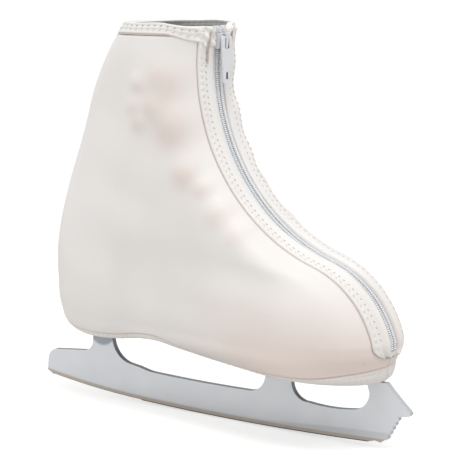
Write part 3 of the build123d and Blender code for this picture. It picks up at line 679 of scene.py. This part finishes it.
cover_pieces = {}
for side, word in ((-1, "outer"), (1, "inner")):
    share, level = panel_grid(spread(150, (0.003, 0.007, 0.012)), spread(150, (0.003, 0.007, 0.012)), side)
    skin = upper(share, level, side)
    normal = upper_normal(share, level, side)
    middle = skin - normal * neoprene / 2
    panel = slab(f"cover_side_{word}", middle, normal, rolled_half(middle, neoprene, 1.4),
                 cover_relief(skin, side) * smoothstep(rolled_half(middle, 2.0, 6.0)),
                 [cover_knit, shaded_inside_knit])
    add_lump_shade(panel, side)
    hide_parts(f"cover_panel_{word}")
    cover_pieces[panel.name] = panel

# ---------------------------------------------------------------- zip facings
# A folded strip of the same cloth down each side of the zip. It is stitched to the tape and to the
# panel, with a rounded fold at the panel's edge, and its end runs out in a point at the toe.
tape_edge = 6.5
facing_rise = 0.9


def closed_strip(name, rings, materials):
    """Closed tube through the rings, each a loop of points, with both ends drawn to their middles."""
    count, around = rings.shape[:2]
    ends = rings[[0, -1]].mean(axis=1)
    points = np.concatenate([rings.reshape(-1, 3), ends])
    index = np.arange(count * around).reshape(count, around)
    index = np.concatenate([index, index[:, :1]], axis=1)
    faces = grid_faces(index)
    first = np.stack([index[0, 1:], index[0, :-1], np.full(around, count * around),
                      np.full(around, count * around)], -1)
    last = np.stack([index[-1, :-1], index[-1, 1:], np.full(around, count * around + 1),
                     np.full(around, count * around + 1)], -1)
    length = travelled(rings.mean(axis=1), 0)
    girth = travelled(rings, 1)
    uv = np.stack([girth, np.broadcast_to(length[:, None], girth.shape)], -1).reshape(-1, 2)
    uv = np.concatenate([uv, np.zeros((2, 2))])
    caps = np.concatenate([first, last])[:, :3]
    return add_mesh(name, points, uv, materials, faces, caps)


def levels_along_front(low, high, step):
    """Levels from low to high that are about one step apart along the front line."""
    fine = np.linspace(low, high, 4000)
    line = np.stack([front_line(fine), fine], -1)
    gone = travelled(line, 0)
    return np.interp(np.arange(0, gone[-1] + step / 2, step), gone, fine)


def facing_lip(z, side):
    """Extra height of the fold: on the inner side it stands up as a wavy lip beside the pull."""
    if side < 0:
        return 0.15 * np.sin(z / 6.3)
    wave = 1.6 + 0.8 * np.cos((z - 228) / 4.6) + 0.5 * np.sin(z / 9.0)
    dip = 1 - 0.75 * np.exp(-(((z - 211) / 7.0) ** 2))
    return wave * dip * smoothstep((z - 130) / 60) + 0.2


def facing_edges(z):
    """Half widths of a facing's two edges: both run together at the toe."""
    outside = zip_border(z - 0.3)
    tape = tape_edge - 1.7 * (1 - smoothstep((z - 108.0) / 45.0))
    return np.minimum(tape, 0.3 * outside), outside


def facing_point(across, z, side):
    """Point on the facing's outer face. Across is 0 at the tape and 1 at the fold: the face rises
    round both edges, has a bead along the fold and a shallow trough at each row of stitches."""
    z, across = np.broadcast_arrays(np.asarray(z, float), np.asarray(across, float))
    inside, outside = facing_edges(z)
    y = inside + (outside - inside) * across
    low = 1 - smoothstep((z - 108.0) / 45.0)
    edge = np.sqrt(np.clip(1 - (2 * across - 1) ** 8, 0, 1))
    bead = np.exp(-(((across - 0.9) / 0.1) ** 2))
    trough = np.exp(-(((across - 0.52) / 0.07) ** 2))
    pucker = 0.22 * np.sin(2 * np.pi * z / 4.1) * np.exp(-(((across - 0.8) / 0.12) ** 2))
    lip = facing_lip(z, side) * np.exp(-(((across - 0.75) / 0.3) ** 2))
    ridge = low * (2.0 * np.exp(-(((across - 0.16) / 0.2) ** 2)) + 0.25 * np.cos(19 * across))
    height = facing_rise * edge + 0.45 * bead - 0.45 * trough + pucker + (lip + ridge) * edge
    share = share_at(y, z, side)
    return upper(share, z, side) + upper_normal(share, z, side) * height[..., None]


facing_top = 250.5
facing_levels = levels_along_front(58.8, facing_top, 1.0)
for side, word in ((-1, "outer"), (1, "inner")):
    across = np.linspace(0, 1, 26)
    face = facing_point(across[None, :], facing_levels[:, None], side)
    inside, outside = facing_edges(facing_levels[:, None])
    back_across = np.linspace(1, 0, 10)[1:-1]
    y = inside + (outside - inside) * back_across
    share = share_at(y, facing_levels[:, None], side)
    back = upper(share, facing_levels[:, None], side)
    back = back - upper_normal(share, facing_levels[:, None], side) * 2.6
    piece = closed_strip(f"zip_facing_fold_{word}", np.concatenate([face, back], axis=1), [hem_knit])
    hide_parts(f"zip_facing_{word}")
    cover_pieces[piece.name] = piece

# ---------------------------------------------------------------- hems
# The cloth is folded inwards round the collar and round the hem above the blade, and sewn through.
# The collar's lower edge is a rounded roll; at the zip its corner is turned under and bunches up.


def rim_level(x, y):
    """Level of the collar's rim: it falls towards the zip, more so on the outer side, and falls again
    in the last few millimetres beside the zip."""
    slope = np.where(y < 0, 2.6, 0.8) * smoothstep((x + 24.0) / 28.0)
    return 254.6 - slope - 4.6 * smoothstep((13.5 - abs(y)) / 8.0) + 0.2 * np.sin(x / 5.0)


def top_seam_level(x):
    """Level of the collar hem's lower roll, which dips towards the zip and at the back."""
    front_dip = 6.0 * smoothstep((x + 16.0) / 22.0)
    return 247.6 - front_dip - 1.0 * smoothstep((-48.0 - x) / 14.0)


def band_profile(count):
    """Loop round a folded band: share up the band, and depth out from its middle from -1 to 1."""
    turn = np.linspace(0, 2 * np.pi, count, endpoint=False)
    up = np.clip(0.5 - 0.5 * np.cos(turn), 0, 1)
    out = np.sign(np.sin(turn)) * np.abs(np.sin(turn)) ** 0.35
    return up, out


def top_hem_point(share, up, side, out):
    """Point of the collar hem: up from the roll to the rim, out from the cloth's middle."""
    level = np.full(np.broadcast(share, up).shape, 250.0)
    place = upper(share, level, side)
    place, beside = place[..., 0], place[..., 1]
    low = top_seam_level(place)
    high = np.where(place > -8.0, rim_level(place, beside), rim_level(place, side * 20.0))
    level = low + (high - low) * up
    roll = 0.55 * np.exp(-(((up - 0.07) / 0.1) ** 2)) + 0.25 * np.exp(-(((up - 0.95) / 0.1) ** 2))
    sunk = 0.3 * np.exp(-(((up - 0.72) / 0.08) ** 2)) + 0.25 * np.exp(-(((up - 0.4) / 0.08) ** 2))
    wave = 0.15 * np.sin(place * 1.34) * np.exp(-(((up - 0.55) / 0.3) ** 2))
    height = -1.2 + out * (1.7 + roll - sunk + wave)
    corner = smoothstep((place + 2.5) / 6.0)
    height = height + np.where(out > 0, 0.9 * corner * (1 + 0.6 * np.sin(up * 11 + place)), 0.0)
    return upper(share, level, side) + upper_normal(share, level, side) * height[..., None]


for side, word in ((-1, "outer"), (1, "inner")):
    up, out = band_profile(40)
    start = share_at(5.8, np.array(250.0), side)
    share = start + (1.0 - start) * np.linspace(0, 1, 170)
    share[-1] = 0.9995
    rings = top_hem_point(share[:, None], up[None, :], side, out[None, :])
    shrink = np.sqrt(np.clip(1 - (1 - np.clip(np.arange(170) / 3.0, 0, 1)) ** 2, 0.05, 1))
    shrink = shrink[:, None, None]
    rings = rings.mean(axis=1, keepdims=True) * (1 - shrink) + rings * shrink
    piece = closed_strip(f"collar_hem_{word}", rings, [hem_knit, shaded_inside_knit])
    count = len(piece.data.polygons)
    inner = np.zeros(count, dtype=np.int32)
    inner[:169 * 40] = np.tile((np.sin(np.linspace(0, 2 * np.pi, 40, endpoint=False)) < -0.05), 169)
    piece.data.polygons.foreach_set("material_index", inner)
    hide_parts(f"top_hem_{word}")
    cover_pieces[piece.name] = piece


def corner_point(across, up, side):
    """Point of the turned-in corner: the hem's end doubled back beside the zip, and bunched."""
    y = 6.2 + 9.6 * across
    top = 252.6 - 3.4 * smoothstep((11.0 - y) / 5.0)
    level = 239.6 + (top - 239.6) * up
    share = share_at(y, level, side)
    bunch = 0.5 * np.sin(7.0 * across + 5.0 * up) + 0.4 * np.sin(13.0 * up - 6.0 * across)
    dip = 0.7 * np.exp(-(((across - 0.55) / 0.1) ** 2)) * smoothstep((1.1 - up) * 2)
    normal = upper_normal(share, level, side)
    return upper(share, level, side) + normal * (1.0 + bunch - dip)[..., None], normal


for side, word in ((-1, "outer"), (1, "inner")):
    across, up = np.meshgrid(np.linspace(0, 1, 36), np.linspace(0, 1, 44), indexing="ij")
    middle, normal = corner_point(across, up, side)
    corner = slab(f"collar_corner_{word}", middle, normal, rolled_half(middle, 2.2, 1.6),
                  0 * across, [hem_knit])
    cover_pieces[corner.name] = corner


def hem_low_level(x):
    """Level of the bottom hem's folded edge."""
    return smooth_through(x, hem_edge[:, 0], hem_edge[:, 1:])[..., 0]


def bottom_hem_point(share, up, side, out):
    """Point of the bottom hem: its band rises from the folded edge, which tucks in, to the seam."""
    level = np.full(np.broadcast(share, up).shape, 48.0)
    for _ in range(6):
        place = upper(share, level, side)[..., 0]
        level = hem_low_level(place) * (1 - up) + hem_seam_level(place) * up
    sunk = 0.25 * np.exp(-(((up - 0.8) / 0.1) ** 2)) + 0.2 * np.exp(-(((up - 0.3) / 0.08) ** 2))
    place = upper(share, level, side)
    wave = 0.12 * np.sin(place[..., 0] * 1.5 + place[..., 1]) * np.exp(-(((up - 0.5) / 0.3) ** 2))
    height = -1.4 + out * (1.6 - sunk + wave) - 1.6 * (1 - up) ** 3
    return place + upper_normal(share, level, side) * height[..., None]


for side, word in ((-1, "outer"), (1, "inner")):
    up, out = band_profile(28)
    share = np.linspace(0.0005, 0.9995, 240)
    rings = bottom_hem_point(share[:, None], up[None, :], side, out[None, :])
    piece = closed_strip(f"blade_hem_{word}", rings, [hem_knit])
    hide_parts(f"bottom_hem_{word}")
    cover_pieces[piece.name] = piece

# ---------------------------------------------------------------- seams
# Narrow lines of pinkish brown bonding tape that show where two pieces of the cover meet: beside
# the facings, under the collar hem, above the bottom hem, and down the heel and the toe.
seam_tape = make_surface("seam_tape", fine_knit, 2500.0, (0.70, 0.58, 0.53), (0.80, 0.69, 0.65), 0.7, 0.0001)


def bead_along(name, path, normal, width, height, sink, materials):
    """Closed oval bead carried along a path, width across it and height out from it."""
    along = np.gradient(path, axis=0)
    across = np.cross(normal, along)
    across = across / np.linalg.norm(across, axis=-1, keepdims=True)
    turn = np.linspace(0, 2 * np.pi, 10, endpoint=False)
    rings = (path[:, None] + across[:, None] * (width / 2 * np.cos(turn))[None, :, None]
             + normal[:, None] * (height / 2 * np.sin(turn) - sink)[None, :, None])
    return closed_strip(name, rings, materials)


def panel_edge_path(side):
    """Path and normal between the panel and the facing, from the toe up to the collar hem."""
    z = levels_along_front(58.5, 245.0, 1.2)
    share = share_at(zip_border(z) + 0.15, z, side)
    return upper(share, z, side), upper_normal(share, z, side)


def hem_path(side, level_of, count=260, start=0.0, offset=0.0):
    """Path and normal round one side at the level that level_of gives for each x."""
    share = np.linspace(start, 1.0, count)
    level = np.full(count, 60.0 if level_of is hem_seam_level else 248.0)
    for _ in range(8):
        level = level_of(upper(share, level, side)[..., 0]) + offset
    return upper(share, level, side), upper_normal(share, level, side)


for side, word in ((-1, "outer"), (1, "inner")):
    collar_start = float(share_at(18.0, np.array(246.0), side))
    for name, (path, normal), sink in (
            ("facing_seam", panel_edge_path(side), 0.55),
            ("blade_hem_seam", hem_path(side, hem_seam_level), 0.55),
            ("collar_hem_seam", hem_path(side, top_seam_level, start=collar_start, offset=-0.4), 0.2)):
        seam = bead_along(f"{name}_{word}", path, normal, 0.8, 0.7, sink, [seam_tape])
        belongs(seam, "skate")
for name, z, share in (("toe_seam", np.linspace(51.8, 58.0, 20), 0.0),
                       ("heel_seam", np.linspace(57.5, 244.0, 160), 1.0)):
    path = upper(np.full(z.shape, share), z, -1)
    seam = bead_along(name, path, upper_normal(np.full(z.shape, share), z, -1), 0.9, 0.7, 0.45, [seam_tape])
    belongs(seam, "skate")

# ---------------------------------------------------------------- stitches
# Off-white polyester thread: slanted dashes with a needle hole beside them on the collar, and two
# rows down each facing. The needle holes are dark beads of painted shade. Each row is one piece
# with a short oval bead for every stitch.
thread = make_surface("thread", fine_knit, 4000.0, (0.68, 0.65, 0.62), (0.84, 0.82, 0.79), 0.6, 0.0001,
                      broad=False)
# Painted shade: the needle holes are drawn as darker beads for the shade inside them.
needle_hole_shade = make_surface("needle_hole_shade", fine_knit, 900.0, (0.50, 0.45, 0.41), (0.62, 0.56, 0.52), 0.9,
                           broad=False)
tack_thread = make_surface("tack_thread", fine_knit, 900.0, (0.50, 0.42, 0.35), (0.70, 0.62, 0.54), 0.7,
                           broad=False)


def stitch_row(name, path, normal, pitch, length, width, slant, material, lift=0.0):
    """Row of oval beads, one every pitch along the path, each turned by the slant from the path."""
    gone = travelled(path, 0)
    places = np.arange(pitch, gone[-1] - pitch / 2, pitch)
    middle = np.stack([np.interp(places, gone, path[:, axis]) for axis in range(3)], -1)
    out = np.stack([np.interp(places, gone, normal[:, axis]) for axis in range(3)], -1)
    ahead = np.stack([np.interp(places + 0.3, gone, path[:, axis]) for axis in range(3)], -1) - middle
    ahead = ahead / np.linalg.norm(ahead, axis=-1, keepdims=True)
    across = np.cross(out, ahead)
    long = ahead * math.cos(slant) + across * math.sin(slant)
    wide = np.cross(out, long)
    level = np.array([-0.5, -0.32, 0.0, 0.32, 0.5])
    girth = np.array([0.02, 0.75, 1.0, 0.75, 0.02])
    turn = np.linspace(0, 2 * np.pi, 6, endpoint=False)
    bead = (long[:, None, None] * (length * level)[None, :, None, None]
            + wide[:, None, None] * (width / 2 * girth[:, None] * np.cos(turn))[None, :, :, None]
            + out[:, None, None] * (width / 2 * girth[:, None] * np.sin(turn) + lift)[None, :, :, None])
    row = add_beads(name, middle[:, None, None] + bead, material)
    belongs(row, "skate")


def facing_path(across, side):
    """Path and normal along the facing's outer face at one share across it."""
    z = levels_along_front(66.0, 241.0, 1.0)
    path = facing_point(np.full(z.shape, across), z, side)
    inside, outside = facing_edges(z)
    share = share_at(inside + (outside - inside) * across, z, side)
    return path, upper_normal(share, z, side)


def collar_path(up, side):
    """Path and normal round the collar hem's outer face at one share up the band."""
    start = float(share_at(12.0, np.array(250.0), side))
    share = np.linspace(start, 0.99, 240)
    path = top_hem_point(share, np.full(share.shape, up), side, np.ones(share.shape))
    return path, upper_normal(share, path[:, 2], side)


def blade_hem_path(up, side):
    """Path and normal along the bottom hem's outer face at one share up the band."""
    share = np.linspace(0.02, 0.98, 300)
    path = bottom_hem_point(share, np.full(share.shape, up), side, np.ones(share.shape))
    return path, upper_normal(share, path[:, 2], side)


for side, word in ((-1, "outer"), (1, "inner")):
    stitch_row(f"collar_dashes_{word}", *collar_path(0.42, side), 4.7, 3.6, 0.9, side * -0.9, thread, 0.1)
    stitch_row(f"collar_holes_{word}", *collar_path(0.74, side), 4.7, 1.9, 0.8, side * -0.5, needle_hole_shade)
    stitch_row(f"facing_zigzag_{word}", *facing_path(0.78, side), 3.9, 2.8, 1.0, side * 0.8, thread, 0.1)
    stitch_row(f"facing_dashes_{word}", *facing_path(0.5, side), 3.9, 1.9, 0.8, side * -0.5, needle_hole_shade)
    stitch_row(f"blade_hem_stitches_{word}", *blade_hem_path(0.8, side), 4.2, 3.0, 0.6, 0.0, thread)
    tack_level = np.linspace(229.0, 250.0, 40)
    tack_share = share_at(11.6, tack_level, side)
    tack_lift = 1.3 + 0.8 * smoothstep((tack_level - 238.0) / 3.0)
    tack_normal = upper_normal(tack_share, tack_level, side)
    tack_path = upper(tack_share, tack_level, side) + tack_normal * tack_lift[:, None]
    stitch_row(f"bar_tack_{word}", tack_path, tack_normal, 0.8, 1.9, 0.7, 1.5, tack_thread)

# ---------------------------------------------------------------- zip
# Woven tapes with a nylon coil sewn to each, the two coils meshed down the middle, with moulded
# stops. The enamelled slider rides on the coils, and its pull hangs from the bridge.
zip_top, zip_bottom = 252.0, 59.5
woven, woven_shader, woven_nodes, woven_links = new_material("woven_tape", (0.76, 0.78, 0.80), 0.75)
weave = woven_nodes.new("ShaderNodeTexWave")
weave.inputs["Scale"].default_value = 700.0
weave.bands_direction = "Z"
woven_place = woven_nodes.new("ShaderNodeTexCoord")
woven_links.new(woven_place.outputs["Object"], weave.inputs["Vector"])
weave_color = mix_color(woven_nodes, woven_links, weave.outputs["Fac"],
                        (0.78, 0.80, 0.82), (0.86, 0.87, 0.89))
woven_links.new(weave_color, woven_shader.inputs["Base Color"])
bump(woven_nodes, woven_links, woven_shader, weave.outputs["Fac"], 0.0001, 0.6)


def front_point(y, z, side, height):
    """Point over the front of the cover at half width y, out by the height."""
    share = share_at(y, z, side)
    return upper(share, z, side) + upper_normal(share, z, side) * np.asarray(height)[..., None]


zip_levels = levels_along_front(zip_bottom, zip_top, 1.5)
for side, word in ((-1, "outer"), (1, "inner")):
    width = np.array([0.9, 3.0, 5.2, 7.4, 7.4, 5.2, 3.0, 0.9])
    height = np.array([-0.6, -0.6, -0.6, -0.6, -1.9, -1.9, -1.9, -1.9])
    narrow = facing_edges(zip_levels)[0][:, None] / tape_edge
    y = 0.75 + (width[None, :] - 0.75) * narrow
    level = np.broadcast_to(zip_levels[:, None], y.shape)
    rings = front_point(y, level, side, np.broadcast_to(height, y.shape))
    tape = closed_strip(f"tape_{word}", rings, [woven])
    belongs(tape, "skate", f"zip_tape_{word}")

nylon = make_surface("nylon_coil", fine_knit, 600.0, (0.84, 0.85, 0.87), (0.92, 0.93, 0.94), 0.4)
coil_pitch, coil_top = 1.3, 246.5
for side, word in ((-1, "outer"), (1, "inner")):
    z = levels_along_front(zip_bottom + 3.0, coil_top, coil_pitch)[:, None, None]
    along = np.array([-0.5, -0.3, 0.0, 0.3, 0.5])[None, :, None] * coil_pitch * 0.86
    turn = np.linspace(0, 2 * np.pi, 8, endpoint=False)[None, None, :]
    slim = np.array([0.05, 0.85, 1.0, 0.85, 0.05])[None, :, None]
    across = 1.78 + 1.2 * np.cos(turn) * slim
    rise = 0.1 + 0.95 * np.sin(turn) * slim
    step_up = np.gradient(z[:, 0, 0])[:, None, None] / coil_pitch
    level = z + along * step_up + 0 * across
    across = across + 0 * level
    rise = rise + 0 * level
    share = share_at(across, level, side)
    turns = upper(share, level, side) + upper_normal(share, level, side) * rise[..., None]
    coil = add_beads(f"coil_{word}", turns, nylon)
    belongs(coil, "skate", f"zip_coil_{word}")

stop_nylon = make_surface("stop_nylon", fine_knit, 900.0, (0.74, 0.74, 0.75), (0.84, 0.84, 0.85), 0.3)
for stop in ("zip_top_stops", "zip_bottom_stop"):
    paint_node(stop, stop_nylon)

enamel = make_surface("slider_enamel", fine_knit, 350.0, (0.72, 0.73, 0.78), (0.84, 0.85, 0.88), 0.28,
                      0.00005, 0.3, broad=False)
enamel.node_tree.nodes["Principled BSDF"].inputs["Coat Weight"].default_value = 0.4
# Painted shadow: the walls inside the pull's slots are near black, for the deep shade in the openings.
slot_shadow = make_surface("slot_shadow", fine_knit, 900.0, (0.02, 0.02, 0.025), (0.09, 0.09, 0.10), 0.6,
                         broad=False)
slot_half = 0.0019
pull_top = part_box("zip_pull")[1][2]
pull_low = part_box("zip_pull")[0][2]
for node_name, piece_name, body in (("zip_slider", "slider_cast", "slider"),
                                    ("zip_pull", "pull_tab", "pull")):
    cast = welded_copy(node_name, piece_name)
    if body == "pull":
        count = len(cast.data.vertices)
        place = np.empty(3 * count)
        cast.data.vertices.foreach_get("co", place)
        place = place.reshape(-1, 3)
        fallen = (pull_top - place[:, 2]) / (pull_top - pull_low)
        place[:, 1] *= 1.08 - 0.4 * smoothstep((fallen - 0.25) / 0.25)
        place[:, 0] += 0.0006
        swing = math.radians(9.0)
        across = place[:, 1].copy()
        place[:, 1] = across * math.cos(swing)
        place[:, 0] += across * math.sin(swing)
        cast.data.vertices.foreach_set("co", place.ravel())
    cast.data.materials.append(enamel)
    cast.data.materials.append(slot_shadow)
    if body == "pull":
        for face in cast.data.polygons:
            aside = abs(face.center[1])
            inside_slot = aside < slot_half and abs(face.normal[0]) < 0.6
            face.material_index = int(inside_slot and face.center[2] > pull_low + 0.001)
    rim = cast.modifiers.new("cast_edges", "BEVEL")
    rim.width = 0.00028
    rim.segments = 2
    rim.limit_method = "ANGLE"
    belongs(cast, body, node_name)

# ---------------------------------------------------------------- what each cover piece is
# The panels, facings and hems are cut flat from the bonded cloth, a little smaller than the boot,
# so they are stretched when they are on: the area each was cut to is worked out, but not kept.
stretch = 1.06


def cut_area(piece):
    """Flat area in square metres: half of the closed sheet's surface, less what it is stretched."""
    areas = np.empty(len(piece.data.polygons))
    piece.data.polygons.foreach_get("area", areas)
    return float(areas.sum()) / 2.0 / stretch


for name, piece in cover_pieces.items():
    belongs(piece, "skate")
    round(cut_area(piece), 5)
